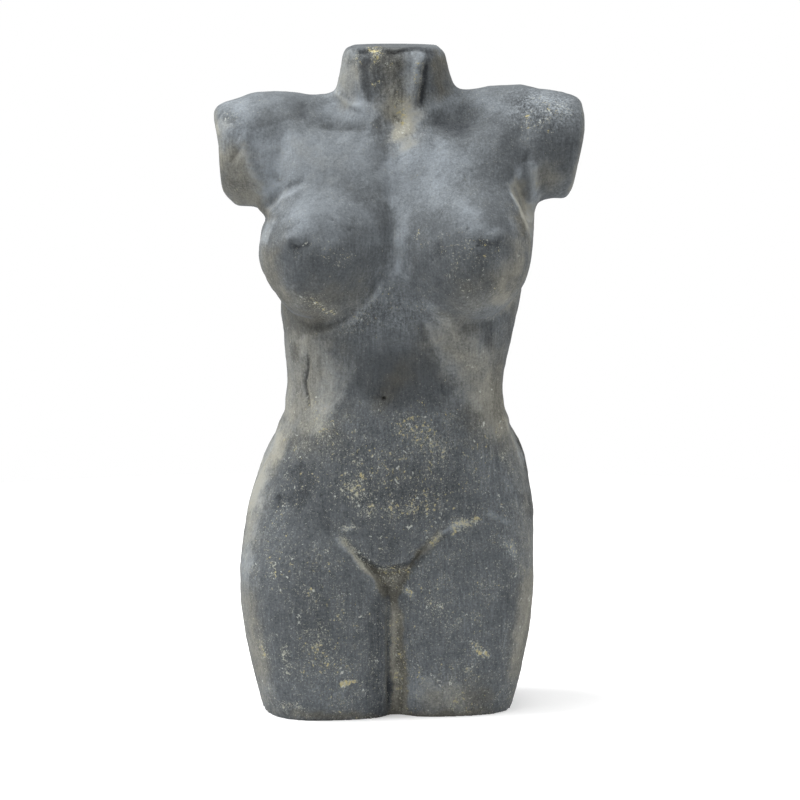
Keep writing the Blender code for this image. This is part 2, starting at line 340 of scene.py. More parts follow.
# swellings that also shift the outline: path, half width in pixels, mm (below 0 pushes in)
outlineShifts = {
    "left stump underside": ([(240, 205), (256, 208)], 8, 6.5),
    "left stump corner": ([(223, 196), (228, 202)], 5, -1.0),
    "left armpit fill": ([(260, 209)], 5, 3.0),
    "left armpit side": ([(264, 219)], 5, -2.5),
    "left shoulder dome": ([(256, 95), (274, 92)], 14, 1.8),
    "left shoulder corner": ([(222, 105), (240, 99)], 11, -1.6),
    "left trapezius": ([(312, 93), (326, 94)], 11, -2.6),
    "right shoulder top": ([(492, 88), (506, 85), (518, 86)], 12, 2.6),
    "right shoulder end": ([(542, 89), (568, 96)], 12, -2.4),
    "right stump corner": ([(563, 195)], 6, 2.4),
    "left breast outside": ([(265, 278), (272, 294)], 12, -3.2),
    "left rib side": ([(278, 302), (281, 328)], 12, -1.6),
    "left waist": ([(284, 409)], 8, -2.2),
    "right waist": ([(506, 418)], 8, 2.2),
    "left hip": ([(243, 536), (241, 564)], 14, 1.5),
    "neck left corner": ([(350, 50)], 6, -0.3),
    "neck right corner": ([(440, 50)], 5, -1.4),
}

unevenness = {
    "broad": (0.00014, 30.0, 24),  # m, waves per metre, number of waves laid over each other
    "fine": (0.00010, 110.0, 60),
    "spread": (0.6, 1.4),  # each wave's own share of the waves per metre
    "seed": 7,
}


# gentle unevenness of a hand-rubbed casting: many waves of chance direction
def waves(places, perMetre, count, dice):
    total = np.zeros(len(places))
    for _ in range(count):
        way = np.array([dice.gauss(0, 1) for _ in range(3)])
        way = way / np.linalg.norm(way) * perMetre * 2 * math.pi * dice.uniform(*unevenness["spread"])
        total += np.sin(places @ way + dice.uniform(0, 2 * math.pi))
    return total / math.sqrt(count / 2)


# halves the squares near the narrow strokes, on the side they are carved on
def refine(piece, strokes, limits, s):
    widest, margin = limits
    points = seen(placesOf(piece))
    near = np.zeros(len(points), bool)
    for path, width in strokes:
        if width < widest:
            line = rounded(path)
            rim = margin * width + s["halvedRim"]
            spots = np.flatnonzero(around(points, line, rim))
            near[spots] |= alongPath(points[spots], line)[0] < rim
    near &= facingOf(piece) @ ahead < -s["halvedFacing"]
    bm = bmesh.new()
    bm.from_mesh(piece.data)
    edges = [e for e in bm.edges if near[e.verts[0].index] and near[e.verts[1].index]]
    bmesh.ops.subdivide_edges(bm, edges=edges, cuts=1, use_grid_fill=True)
    bm.to_mesh(piece.data)
    bm.free()


def carve(piece, s):
    dice = random.Random(unevenness["seed"])
    places = placesOf(piece)
    facing = facingOf(piece)
    raised, growsFrom, growsTo = s["neckLift"]
    places[:, 2] += raised * softStep(growsFrom, growsTo, places[:, 2])
    points = seen(places)
    front = softStep(*s["carvedFacing"], -facing @ ahead)
    move = np.zeros(len(places))
    for path, width, depth in carving.values():
        move += stroke(points, path, width) * front * depth * mm
    for spot in pinholes["spots"]:
        move += stroke(points, [spot], pinholes["width"]) * front * pinholes["depth"] * mm
    for path, width, depth in outlineShifts.values():
        move += stroke(points, path, width) * depth * mm
    for key in ("broad", "fine"):
        size, perMetre, count = unevenness[key]
        move += waves(places, perMetre, count, dice) * size
    places = places + facing * move[:, None]
    height, facingDown = s["floorBand"]
    low = (places[:, 2] < height) & (facing[:, 2] < -facingDown)
    places[low, 2] = 0.0
    places[:, 2] = np.maximum(places[:, 2], 0.0)
    least, most = np.array(cadBox[0]), np.array(cadBox[1])
    setPlaces(piece, np.clip(places, least, most))


grooves = [(path, width) for path, width, depth in carving.values()]
pits = [([spot], pinholes["width"]) for spot in pinholes["spots"]]
refine(torso, grooves, stone["halved"]["carving"], stone)
refine(torso, pits, stone["halved"]["pinholes"], stone)
carve(torso, stone)
print("stone carved,", sum(len(f.vertices) - 2 for f in torso.data.polygons), "triangles")

# paint in layers: pale dust over the dark wash, which also carries painted light and shade, warm brown, how
# dense the cream specks are, and how gritty it looks
# strokes: path in picture points, half width in pixels, amount (below 0 takes away)
paintStrokes = {
    "pale": {
        "neck top": ([(354, 45), (400, 44), (436, 46)], 5, -0.24),
        "neck rim shade": (neckRimLine, 2.6, -0.30),
        "neck middle": ([(380, 62), (386, 82)], 14, -0.02),
        "windpipe foot": ([(393, 94), (395, 108)], 9, 0.32),
        "neck left top": ([(353, 58)], 9, -0.34),
        "neck left foot": ([(344, 96)], 6, -0.26),
        "throat side": ([(411, 118)], 6, 0.26),
        "throat other side": ([(396, 131)], 5, 0.20),
        # painted shade in the carved furrow beside the right tendon
        "tendon furrow": ([(428, 57), (424, 82), (420, 110)], 2.6, -0.34),
        # painted shade in the pits of the throat's notch
        "throat pit": ([(395, 116), (399, 121)], 1.8, -0.35),
        "neck foot": ([(334, 91), (348, 102), (366, 111)], 3, 0.26),
        "neck foot line": ([(334, 86), (345, 97), (360, 106)], 2.2, -0.14),
        "left trapezius": ([(330, 108), (350, 112), (372, 112)], 11, 0.30),
        "left shoulder end": ([(222, 100), (240, 106)], 10, 0.20),
        "left shoulder front": ([(240, 112), (249, 115)], 8, 0.20),
        "left stump dust": ([(226, 128)], 9, 0.34),
        "left stump middle": ([(232, 168), (242, 172)], 8, 0.18),
        "left arm band": ([(242, 142), (249, 160), (258, 178), (266, 196), (268, 212)], 4.5, 0.30),
        "left arm facet line": (armFacet, 2.2, -0.20),
        "left arm light": ([(257, 124), (262, 142), (269, 168), (276, 202)], 12, 0.40),
        "left chest side": ([(284, 134), (282, 168)], 9, 0.30),
        "left armpit light": ([(276, 188)], 8, 0.22),
        "left armpit spot": ([(275, 175), (279, 180)], 3, -0.30),
        "left chest": ([(318, 152), (345, 158)], 24, 0.24),
        "left chest outside": ([(292, 144), (300, 172)], 19, 0.22),
        "left chest inside": ([(368, 140), (366, 175)], 14, 0.12),
        "left shoulder shadow": ([(306, 98), (302, 110), (295, 124)], 6, -0.18),
        "left collarbone line": ([(318, 127), (340, 129), (366, 130)], 2.4, -0.14),
        # painted shadow at the top of the breastbone furrow
        "furrow": ([(376, 116), (377, 136)], 4.5, -0.20),
        # pale dust in the furrow, and painted light on its right wall, which faces the left lamps
        "furrow dust and lit wall": ([(388, 146), (389, 180), (391, 212)], 8, 0.36),
        "breastbone": ([(404, 136), (404, 168), (405, 202)], 10, 0.26),
        # painted shade along the furrow's left wall, which faces away from the left lamps
        "furrow shade line": ([(383, 138), (386, 175), (385, 205), (382, 234)], 2.4, -0.10),
        "left chest fold": ([(334, 181), (352, 192), (368, 206)], 6, -0.12),
        "breastbone foot": ([(403, 205), (402, 235)], 10, 0.18),
        "right chest": ([(422, 152), (434, 170), (432, 186)], 21, 0.38),
        "right chest top": ([(440, 156), (466, 162)], 13, 0.26),
        "right chest streak": ([(464, 142), (494, 153)], 6, 0.10),
        # painted light on the top of the right breast, where the top light falls
        "right breast top light": ([(465, 209), (474, 223)], 13, 0.34),
        # painted shade on the lower half of the right breast, below the nipple
        "right breast inside": ([(440, 250)], 10, -0.22),
        "right breast middle shade": ([(480, 260)], 10, -0.18),
        "right breast low outside": ([(502, 266), (502, 298)], 9, 0.30),
        "right collarbone": ([(430, 108), (452, 104)], 8, 0.16),
        "right collarbone end": ([(480, 102), (504, 108)], 10, 0.22),
        # painted shade in the carved hollow under the right collarbone
        "right hollow shade": ([(438, 126), (464, 129)], 8, -0.28),
        # pale dust and painted light on the top of the right shoulder
        "right shoulder": ([(530, 90), (550, 100), (574, 106)], 10, 0.24),
        "left shoulder top": ([(256, 104), (276, 104)], 10, 0.16),
        "right shoulder shadow": ([(546, 142), (578, 148)], 9, -0.10),
        "right arm shade": ([(504, 136), (512, 152)], 11, -0.12),
        "right arm fold": ([(527, 150), (525, 166), (524, 180)], 3, -0.12),
        "right arm fold lip": ([(536, 162), (534, 182), (533, 202)], 3.6, 0.26),
        "right arm second lip": ([(515, 162), (519, 176), (522, 194)], 3.4, 0.22),
        # painted reflected light on the underside of the right stump
        "right stump low": ([(546, 164), (556, 178)], 10, 0.20),
        "right flank light": ([(529, 200), (531, 222)], 4, 0.56),
        "right breast rim": ([(513, 222), (518, 240)], 5, 0.16),
        "right breast line": ([(508, 188), (516, 202), (523, 216), (530, 234)], 1.3, 0.40),
        # painted light on the top of the left breast, where the top light falls
        "left breast top light": ([(305, 210), (340, 204)], 20, 0.20),
        "left breast rim": ([(267, 216), (276, 204), (286, 196), (298, 188)], 3, 0.16),
        "left breast edge": ([(266, 226), (263, 250), (268, 276)], 5, 0.12),
        "left breast side": ([(268, 222), (265, 240)], 5, 0.30),
        "left breast middle": ([(336, 232)], 14, 0.18),
        "left breast upper": ([(298, 220), (304, 227)], 13, 0.22),
        "left breast centre": ([(322, 245)], 10, 0.16),
        # painted shade in the crease under the left breast
        "left breast fold shade": ([(320, 321)], 7, -0.24),
        "rib notch": ([(400, 268)], 9, 0.34),
        "left flank light": ([(303, 340), (303, 352)], 4, 0.24),
        "left belly edge": ([(350, 370)], 7, 0.20),
        "right belly edge": ([(458, 398)], 9, 0.18),
        "left hip top": ([(283, 440), (277, 456)], 7, 0.28),
        "left nipple shade": ([(287, 243), (298, 245), (311, 243)], 3.0, -0.24),
        "left nipple light": ([(284, 237), (294, 235)], 3.4, 0.14),
        "right nipple shade": ([(474, 242), (490, 245), (505, 245)], 3.4, -0.22),
        "right nipple light": ([(484, 234), (500, 228)], 3.4, 0.16),
        "left breast inside": ([(366, 216), (372, 240)], 12, 0.18),
        "left breast shade": ([(312, 256), (345, 262)], 17, -0.04),
        # painted shade on the underside of the left breast
        "left breast under shade": ([(306, 284), (345, 288)], 20, -0.07),
        "left breast outside": ([(284, 286), (298, 304)], 7, 0.16),
        "right breast outside": ([(520, 246), (517, 272)], 7, 0.24),
        "right breast low": ([(470, 302), (492, 304)], 12, 0.14),
        # painted shade low on the inside of the right breast
        "right breast inside low": ([(424, 268), (442, 292)], 12, -0.08),
        "between the breasts": ([(400, 236), (398, 262)], 11, 0.24),
        "rib fold left": ([(386, 276), (374, 296), (352, 318), (338, 327)], 3.6, 0.26),
        "rib fold right": ([(424, 298), (440, 318), (462, 332)], 4.5, 0.16),
        "rib arch": ([(388, 292), (402, 312)], 20, 0.14),
        "sternum dark": ([(420, 322), (429, 344)], 4, -0.22),
        "left flank low": ([(322, 410), (316, 432)], 9, 0.26),
        "left flank streak": (flankCrack, 1.5, -0.42),
        "left flank shade": ([(295, 342), (296, 362)], 4, -0.22),
        "left flank second streak": ([(320, 350), (321, 386)], 2.4, -0.14),
        "right flank low": ([(482, 402), (492, 430)], 10, 0.26),
        "right flank streak": ([(512, 300), (509, 345)], 3, -0.20),
        "right flank second streak": ([(489, 318), (490, 350)], 3, -0.18),
        # pale dust and painted light on the left waist and hip, the side that faces the left lamps
        "left waist edge": ([(286, 420), (270, 448), (258, 478), (250, 512)], 7, 0.40),
        "left hip band": ([(268, 462), (256, 500), (248, 540), (244, 590)], 8, 0.38),
        "left thigh edge": ([(244, 570), (249, 620), (261, 668), (270, 700)], 5, 0.14),
        "left hip dark": ([(304, 456), (300, 485), (288, 512)], 13, -0.24),
        # darker over the carved dent in the left hip
        "left hip dent darkening": ([(281, 492), (278, 512)], 4, -0.22),
        "right hip": ([(484, 470), (500, 490)], 14, 0.08),
        "right hip outside": ([(526, 490), (530, 520)], 5, -0.14),
        "right hip edge": ([(503, 408), (510, 430), (519, 452), (524, 470)], 2.2, 0.36),
        "right buttock": ([(508, 410), (516, 432), (525, 456), (530, 488)], 2.6, -0.30),
        "left belly low": ([(336, 442), (352, 450)], 14, -0.12),
        "pelvis": ([(340, 492), (440, 492)], 34, -0.16),
        "mound": ([(388, 545)], 17, -0.16),
        "mound edge shade": ([(357, 555), (368, 562), (380, 566), (393, 567), (407, 563), (420, 554)],
                             2.2, -0.30),
        "left groin light": ([(332, 531), (345, 546), (357, 558), (369, 571), (380, 586)], 3.6, 0.58),
        "left groin dark": ([(354, 548), (364, 557), (374, 568), (383, 581), (390, 597)], 1.6, -0.20),
        "left groin line": ([(340, 531), (357, 526)], 2.2, 0.36),
        "right groin light": ([(472, 520), (456, 526), (442, 535), (430, 546), (421, 557)], 2.8, 0.44),
        "right groin dark": ([(431, 541), (420, 552), (411, 565), (404, 579), (398, 596)], 2.0, -0.18),
        "groin smear": ([(404, 587), (414, 599)], 3.0, 0.36),
        "right hip wisps": ([(484, 512), (498, 517), (512, 528)], 3, 0.24),
        "right hip smear": ([(508, 543), (512, 553)], 3.4, 0.26),
        "right thigh side": ([(507, 556), (509, 620)], 5, -0.10),
        # painted shade on the left thigh's side of the groove, which faces away from the left lamps
        "groove shade": ([(388, 598), (388, 650), (388, 714)], 1.8, -0.14),
        # pale deposit and painted light on the right thigh's side of the groove, which faces the left lamps
        "groove light": ([(393.5, 600), (394, 640), (394.5, 712)], 3.0, 0.30),
        "thighs": ([(300, 580), (330, 640)], 40, -0.10),
        "left thigh low": ([(300, 690), (330, 692)], 18, 0.06),
        "right thigh low": ([(416, 692), (450, 696)], 15, 0.26),
        "right thigh edge": ([(528, 560), (525, 600), (517, 650), (508, 690)], 5, 0.24),
    },
    "warm": {
        "neck": ([(388, 60), (400, 110)], 22, 0.50),
        "neck left": ([(352, 70), (347, 100)], 12, 0.30),
        "neck right": ([(438, 62), (440, 92)], 8, 0.50),
        "throat": ([(400, 114), (403, 134)], 13, 0.78),
        "left stump": ([(224, 128)], 10, 0.35),
        "right breast side": ([(502, 270), (502, 298)], 9, 0.40),
        "left hip top": ([(282, 442), (274, 460)], 8, 0.35),
        "right stump low": ([(550, 176)], 18, 0.55),
        "right armpit": ([(520, 175), (525, 240)], 9, 0.55),
        "left breast edge": ([(268, 240), (274, 285), (300, 306)], 11, 0.40),
        "left breast low": ([(320, 300), (350, 296)], 20, 0.35),
        "right breast low": ([(470, 292), (500, 285)], 22, 0.40),
        "right breast outside": ([(519, 244), (517, 272)], 9, 0.40),
        "left flank": ([(308, 330), (316, 372), (312, 425)], 32, 0.55),
        "right flank": ([(452, 340), (476, 372), (490, 415)], 30, 0.60),
        "left hip": ([(264, 450), (250, 510), (246, 560)], 16, 0.30),
        "left thigh edge": ([(246, 580), (252, 625), (266, 690)], 10, 0.35),
        "belly": ([(384, 400), (404, 372)], 14, 0.45),
        "left groin": ([(336, 534), (362, 562), (386, 590)], 5, 0.6),
        "right groin": ([(446, 530), (414, 558)], 5, 0.6),
        "thighs low": ([(412, 700), (500, 694)], 18, 0.5),
        "right thigh edge": ([(530, 560), (526, 600), (518, 650), (508, 690)], 10, 0.45),
        "left chest": ([(296, 150), (330, 160)], 22, 0.15),
        "base": ([(265, 712), (380, 718), (510, 712)], 5, 0.6),
    },
    "cream": {
        "neck": ([(373, 51), (379, 54), (378, 63)], 5.5, 0.85),
        "neck ring": ([(374, 82), (380, 80)], 3, 0.9),
        "neck spot": ([(389, 65)], 3, 0.8),
        "neck top left": ([(356, 55), (359, 61)], 3, 0.7),
        "neck tendon": ([(420, 54), (414, 100)], 6, 0.45),
        "throat": ([(404, 116), (403, 126), (401, 138)], 10, 0.80),
        "windpipe": ([(398, 96), (402, 108)], 8, 0.45),
        "right shoulder": ([(536, 92), (550, 106), (576, 110)], 11, 0.40),
        "right shoulder low": ([(516, 116), (530, 124), (556, 122)], 9, 0.45),
        "left shoulder": ([(228, 116)], 9, 0.5),
        "left arm spot": ([(236, 192)], 3, 0.8),
        "left nipple": ([(300, 250), (340, 258)], 12, 0.34),
        "right nipple": ([(446, 248), (500, 252)], 14, 0.30),
        "left breast low": ([(308, 300), (330, 312)], 8, 0.60),
        "right breast low": ([(440, 266), (470, 284), (508, 288)], 18, 0.38),
        "chest scratch": ([(420, 228), (415, 240)], 1.8, 0.8),
        "ribs": ([(336, 334), (360, 320), (384, 300)], 12, 0.35),
        "ribs middle": ([(390, 290), (420, 312)], 16, 0.22),
        "flanks": ([(320, 400), (322, 440)], 12, 0.25),
        "right flank": ([(470, 350), (480, 400)], 14, 0.25),
        "yellow left": ([(344, 478), (358, 498), (376, 516)], 12, 0.40),
        "yellow right": ([(404, 424), (420, 436), (436, 448)], 15, 0.36),
        "yellow middle": ([(388, 512), (425, 508)], 11, 0.34),
        "pelvis": ([(360, 470), (430, 480)], 24, 0.13),
        "left thigh dust": ([(314, 632), (324, 660)], 12, 0.30),
        "left thigh crumbs": ([(306, 590), (318, 600)], 8, 0.26),
        "right thigh dust": ([(432, 600), (446, 622)], 10, 0.24),
        "left groin": ([(334, 531), (346, 543), (358, 556), (372, 574)], 4.4, 0.8),
        "left groin line": ([(340, 531), (357, 526)], 2.6, 0.8),
        "right groin": ([(473, 519), (455, 527)], 5, 0.70),
        "right groin low": ([(444, 533), (430, 546)], 3.4, 0.9),
        "groin smear": ([(404, 587), (414, 599)], 3, 0.7),
        "hollow": ([(372, 566), (392, 572), (410, 566)], 5, 0.34),
        "groove": ([(396, 606), (398, 712)], 5, 0.05),
        "hip chips": ([(500, 448), (506, 468)], 5, 0.4),
        "right thigh spot": ([(476, 645), (487, 656)], 4.5, 0.62),
        "right thigh low spot": ([(467, 672)], 3, 0.8),
        "left thigh spot": ([(343, 682), (353, 681)], 2.6, 0.9),
        "left thigh streak": ([(284, 640), (288, 680)], 4, 0.60),
        "left thigh second streak": ([(258, 632), (266, 660)], 5, 0.40),
        "left thigh patch": ([(271, 562), (276, 578)], 4, 0.50),
        "hip smear": ([(506, 542), (515, 552)], 4, 0.5),
        "base left": ([(282, 705), (300, 706)], 5, 0.5),
        "thighs meet": ([(398, 634), (400, 705)], 6, 0.25),
    },
    "grit": {
        "chest": ([(330, 160), (400, 165)], 55, -0.20),
        "right chest": ([(430, 150), (450, 190)], 26, 0.16),
        "left shoulder": ([(262, 108), (290, 104)], 22, -0.20),
        "right collarbone": ([(470, 100), (510, 96)], 18, -0.15),
        "left breast": ([(320, 215)], 34, -0.15),
        "right breast": ([(470, 205)], 34, -0.15),
        "neck": ([(390, 60), (396, 104)], 28, 0.45),
        "throat": ([(402, 120), (406, 142)], 14, 0.75),
        "left stump": ([(230, 132), (242, 186)], 14, 0.35),
        "right shoulder": ([(526, 108), (560, 112)], 17, 1.10),
        "ribs": ([(340, 330), (384, 312), (420, 324)], 16, 0.60),
        "left flank": ([(318, 370)], 30, 0.30),
        "right flank": ([(465, 360)], 32, 0.30),
        "belly middle": ([(380, 372), (420, 376)], 22, -0.30),
        "belly low": ([(330, 440), (450, 440)], 30, 0.20),
    },
}

hollowOutline = [(354, 553), (366, 562), (380, 567), (393, 568), (408, 563), (420, 553), (405, 582),
                 (396, 600), (386, 598), (374, 580)]

# patches with a clear edge: outline in picture points, softness of the edge in pixels, amount
paintPatches = {
    "pale": {
        "neck left face": ([(343, 50), (357, 53), (359, 72), (362, 88), (368, 104), (352, 106),
                            (333, 90), (338, 70)], 2.5, 0.34),
        "neck tendon": ([(405, 54), (423, 50), (422, 66), (418, 84), (415, 106), (405, 112),
                         (406, 90), (403, 70)], 3, 0.38),
        "throat": ([(392, 108), (413, 106), (420, 120), (413, 138), (404, 148), (394, 140),
                    (388, 124)], 9, 0.66),
        "left stump top": ([(216, 122), (232, 127), (250, 120), (254, 140), (246, 156), (234, 160),
                            (218, 152)], 8, 0.30),
        "left stump low": ([(222, 156), (238, 150), (252, 168), (262, 192), (266, 214), (248, 208),
                            (230, 204)], 8, 0.20),
        "right flank strip": ([(508, 186), (516, 170), (530, 160), (540, 170), (540, 202), (538, 236),
                               (530, 236), (523, 216), (516, 202)], 2.5, 0.30),
        "left flank": ([(282, 334), (298, 328), (314, 334), (328, 350), (340, 366), (343, 388),
                        (336, 408), (326, 426), (304, 434), (282, 420)], 8, 0.22),
        "left flank front": ([(314, 338), (330, 352), (339, 370), (340, 390), (331, 410), (314, 412),
                              (316, 372)], 9, 0.20),
        "right flank": ([(421, 320), (436, 322), (462, 332), (482, 336), (490, 360), (490, 396),
                         (480, 406), (466, 400), (460, 386), (448, 377), (437, 364), (431, 346)], 9, 0.32),
        "belly oval": ([(358, 356), (386, 350), (424, 350), (448, 378), (444, 400), (420, 407),
                        (384, 405), (360, 394), (352, 374)], 9, -0.16),
        "ribs patch": ([(364, 325), (398, 316), (417, 328), (418, 350), (394, 353), (368, 352)], 8, 0.04),
        "hollow": (hollowOutline, 2.5, -0.06),
        "groove band": ([(391, 600), (400, 602), (404, 640), (408, 716), (392, 718), (390.5, 660)],
                        3, 0.06),
        # painted shade on the inner side of the left thigh, which faces away from the left lamps
        "left thigh inside shade": ([(374, 596), (387, 602), (388, 716), (370, 716), (368, 650)], 5, -0.18),
        "right buttock": ([(506, 410), (514, 434), (524, 460), (530, 500), (540, 540), (544, 470),
                           (530, 430)], 2.5, -0.10),
    },
    "warm": {
        "left stump low": ([(216, 150), (238, 144), (252, 166), (262, 192), (268, 216), (248, 210),
                            (226, 206)], 12, 0.65),
        "hollow": (hollowOutline, 3, 0.70),
        "groove band": ([(391, 596), (400, 600), (404, 640), (408, 718), (392, 720), (390.5, 660)],
                        2.5, 0.80),
    },
}

# what every side gets, and more where the stone faces sideways or back, or stands low
everywhere = {
    "pale": 0.36,
    "paleSides": 0.10,
    "paleBack": 0.08,
    "paleBroad": (0.09, 7.0, 16),  # large clouds on the back: amount, waves per metre, number of waves
    "cloudSides": 0.6,  # share of the clouds that the sides get
    "warm": 0.10,
    "warmSides": 0.30,
    "cream": 0.05,
    "creamBack": 0.14,
    "creamLow": 0.33,
    "grit": 0.60,
    "gritLow": 0.12,
    "low": (0.37, 0.29),  # m, from and to which height it grows
    "front": (-0.05, 0.30),  # share in which a spot faces the eye, from and to where the strokes take
    "sides": (0.5, 0.95),  # the same to the left or right
    "back": (0.1, 0.6),
    "smudge": ((1.8, 50.0, 20), (0.9, 160.0, 20)),  # px that edges wander, waves per metre, their number
    "smudgeFull": (8, 5),  # px, half width of a stroke and softness of a patch that wander in full
    # on the back and sides: paler where the stone bulges, as worn edges, and darker where it dips in, as
    # painted shade
    "wearAndHollowShade": (0.26, 0.00022),  # on the back and sides: amount, and the bulge in m where it is full
    "wearRange": (-1.0, 1.5),
    "seed": 11,
}


# how far each vertex stands out from its neighbours, in m, evened out over a few rounds
def bulgeOf(piece, rounds=5, kept=0.3):
    places = placesOf(piece)
    flat = np.empty(len(piece.data.edges) * 2, np.int32)
    piece.data.edges.foreach_get("vertices", flat)
    ends = flat.reshape(-1, 2)
    count = np.bincount(flat, minlength=len(places)).astype(float)

    def mean(values):
        total = np.bincount(ends[:, 0], values[ends[:, 1]], len(places))
        return (total + np.bincount(ends[:, 1], values[ends[:, 0]], len(places))) / count

    apart = places - np.stack([mean(places[:, i]) for i in range(3)], 1)
    bulge = np.sum(apart * facingOf(piece), axis=1)
    for _ in range(rounds):
        bulge = kept * bulge + (1 - kept) * mean(bulge)
    return bulge


def brush(piece, e):
    dice = random.Random(e["seed"])
    places = placesOf(piece)
    facing = facingOf(piece)
    points = seen(places)
    front = softStep(*e["front"], -facing @ ahead)
    sides = softStep(*e["sides"], np.abs(facing[:, 0]))
    back = softStep(*e["back"], facing[:, 1])
    low = softStep(*e["low"], places[:, 2])
    wander = np.zeros((len(places), 2))
    for size, perMetre, count in e["smudge"]:
        for axis in (0, 1):
            wander[:, axis] += waves(places, perMetre, count, dice) * size
    amount, perMetre, count = e["paleBroad"]
    clouds = waves(places, perMetre, count, dice) * amount * np.maximum(back, e["cloudSides"] * sides)
    # worn edges paler on bulges, and painted shade in the hollows
    amount, full = e["wearAndHollowShade"]
    wearAndHollowShade = np.clip(bulgeOf(piece) / full, *e["wearRange"]) * amount * (1 - front)
    strokeFull, patchFull = e["smudgeFull"]
    layers = {
        "pale": e["pale"] + e["paleSides"] * sides + e["paleBack"] * back + clouds + wearAndHollowShade,
        "warm": e["warm"] + e["warmSides"] * sides + clouds,
        "cream": e["cream"] + e["creamLow"] * low + e["creamBack"] * np.maximum(back, sides) * (1 - low),
        "grit": e["grit"] + e["gritLow"] * low,
    }
    for name, layer in layers.items():
        for path, width, strength in paintStrokes[name].values():
            loose = min(1.0, width / strokeFull)
            fall = tip["softFall"] if width > tip["crispBelow"] else tip["crispFall"]
            layer += stroke(points + wander * loose, path, width, fall) * front * strength
        for outline, edge, strength in paintPatches.get(name, {}).values():
            loose = min(1.0, edge / patchFull)
            layer += patch(points + wander * loose, outline, edge) * front * strength
        data = piece.data.attributes.new(name, "FLOAT", "POINT")
        data.data.foreach_set("value", layer.astype(np.float32))


brush(torso, everywhere)
print("paint layers done")


class Signal:
    def __init__(self, tree, socket):
        self.tree = tree
        self.socket = socket

    def sum(self, kind, first, second):
        n = self.tree.nodes.new("ShaderNodeMath")
        n.operation = kind
        for i, value in enumerate((first, second)):
            if isinstance(value, Signal):
                self.tree.links.new(value.socket, n.inputs[i])
            else:
                n.inputs[i].default_value = value
        return Signal(self.tree, n.outputs[0])

    def __add__(self, other):
        return self.sum("ADD", self, other)

    def __radd__(self, other):
        return self.sum("ADD", other, self)

    def __sub__(self, other):
        return self.sum("SUBTRACT", self, other)

    def __rsub__(self, other):
        return self.sum("SUBTRACT", other, self)

    def __mul__(self, other):
        return self.sum("MULTIPLY", self, other)

    def __rmul__(self, other):
        return self.sum("MULTIPLY", other, self)


class Shades:
    def __init__(self, name):
        self.material = bpy.data.materials.new(name)
        self.material.use_nodes = True
        self.tree = self.material.node_tree
        self.shader = self.tree.nodes["Principled BSDF"]

    # any node: its type, its settings, then the values or links of its sockets
    def node(self, kind, settings, sockets, output=0):
        n = self.tree.nodes.new("ShaderNode" + kind)
        for key, value in settings.items():
            setattr(n, key, value)
        for key, value in sockets.items():
            if isinstance(value, Signal):
                self.tree.links.new(value.socket, n.inputs[key])
            else:
                n.inputs[key].default_value = value
        return Signal(self.tree, n.outputs[output])

    def layer(self, name):
        return self.node("Attribute", {"attribute_name": name}, {}, "Fac")

    def noise(self, where, perMetre, detail=3.0, rough=0.55, stretch=None):
        if stretch:
            where = self.node("Mapping", {}, {"Vector": where, "Scale": stretch})
        sockets = {"Vector": where, "Scale": perMetre, "Detail": detail, "Roughness": rough}
        return self.node("TexNoise", {}, sockets)

    def ramp(self, value, low, high):
        sockets = {"Value": value, "From Min": low, "From Max": high}
        return self.node("MapRange", {"interpolation_type": "SMOOTHSTEP"}, sockets)

    def stops(self, value, colours):
        n = self.tree.nodes.new("ShaderNodeValToRGB")
        while len(n.color_ramp.elements) < len(colours):
            n.color_ramp.elements.new(0.5)
        for mark, (at, colour) in zip(n.color_ramp.elements, colours):
            mark.position = at
            mark.color = tint(*colour)
        self.tree.links.new(value.socket, n.inputs["Fac"])
        return Signal(self.tree, n.outputs["Color"])

    def mix(self, share, first, second):
        sockets = {0: share, 6: first, 7: second}
        return self.node("Mix", {"data_type": "RGBA"}, sockets, 2)


# screen colour to the renderer's own
def tint(red, green, blue):
    return tuple(math.pow(c / 255, 2.2) for c in (red, green, blue)) + (1.0,)


finish = {
    "cool": ((0.0, (56, 59, 62)), (0.40, (88, 92, 95)), (1.0, (135, 142, 148))),
    "warm": ((0.0, (58, 57, 53)), (0.40, (91, 90, 84)), (1.0, (138, 137, 128))),
    "speck": (158, 159, 147),
    "yellow": (166, 157, 116),
    "chip": (170, 173, 166),
    # dark colour of the pores, where the bump sinks them: painted shade
    "pit": (50, 52, 56),
    "roughness": 0.92,
    "gloss": 0.25,
    # noises: waves per metre, detail, roughness, stretch of the brush marks that run up and down
    "mottle": (22.0, 4.0),
    "spots": (80.0, 3.0),
    "flakes": (120.0, 2.0, 0.5),
    "brushed": (160.0, 2.0, 0.5, (1.0, 1.0, 0.12)),
    "large": (260.0, 3.0, 0.7),
    "fine": (380.0, 3.0, 0.65),
    "holes": (430.0, 2.0, 0.5),
    "streak": (520.0, 2.0, 0.5, (1.0, 1.0, 0.09)),
    "small": (620.0, 2.0, 0.7),
    "grain": (800.0, 2.0),
    # what each noise adds to the pale dust, everywhere and where it is gritty
    "dust": {"mottle": 0.24, "brushed": 0.20, "spots": 0.10},
    "dustGrit": {"spots": 0.30, "fine": 1.0, "streak": 0.55, "grain": 0.45},
    "creamClumps": {"spots": 0.9, "mottle": 0.7},
    # how far the cream layer shifts the noise, from and to which noise value they show, how fully
    "specks": (0.20, 0.67, 0.79, 0.70),
    "lumps": (0.22, 0.725, 0.81, 0.85),
    "chips": (0.08, 0.76, 0.82, 0.8),
    "chipRagged": 0.7,
    "chipDensity": (0.05, 0.35),
    "pits": (0.70, 0.76, 0.5),  # the same without the shift
    "warmEdge": (0.5, 0.05, 0.95),  # how ragged, from and to which warmth it turns
    "yellowed": (0.42, 0.56),
    "relief": {"grain": 0.4, "fine": 1.0, "small": 0.4, "spots": 1.5, "streak": 0.3, "holes": 0.5},
    "bump": (0.5, 0.0009),  # strength, distance in m
}


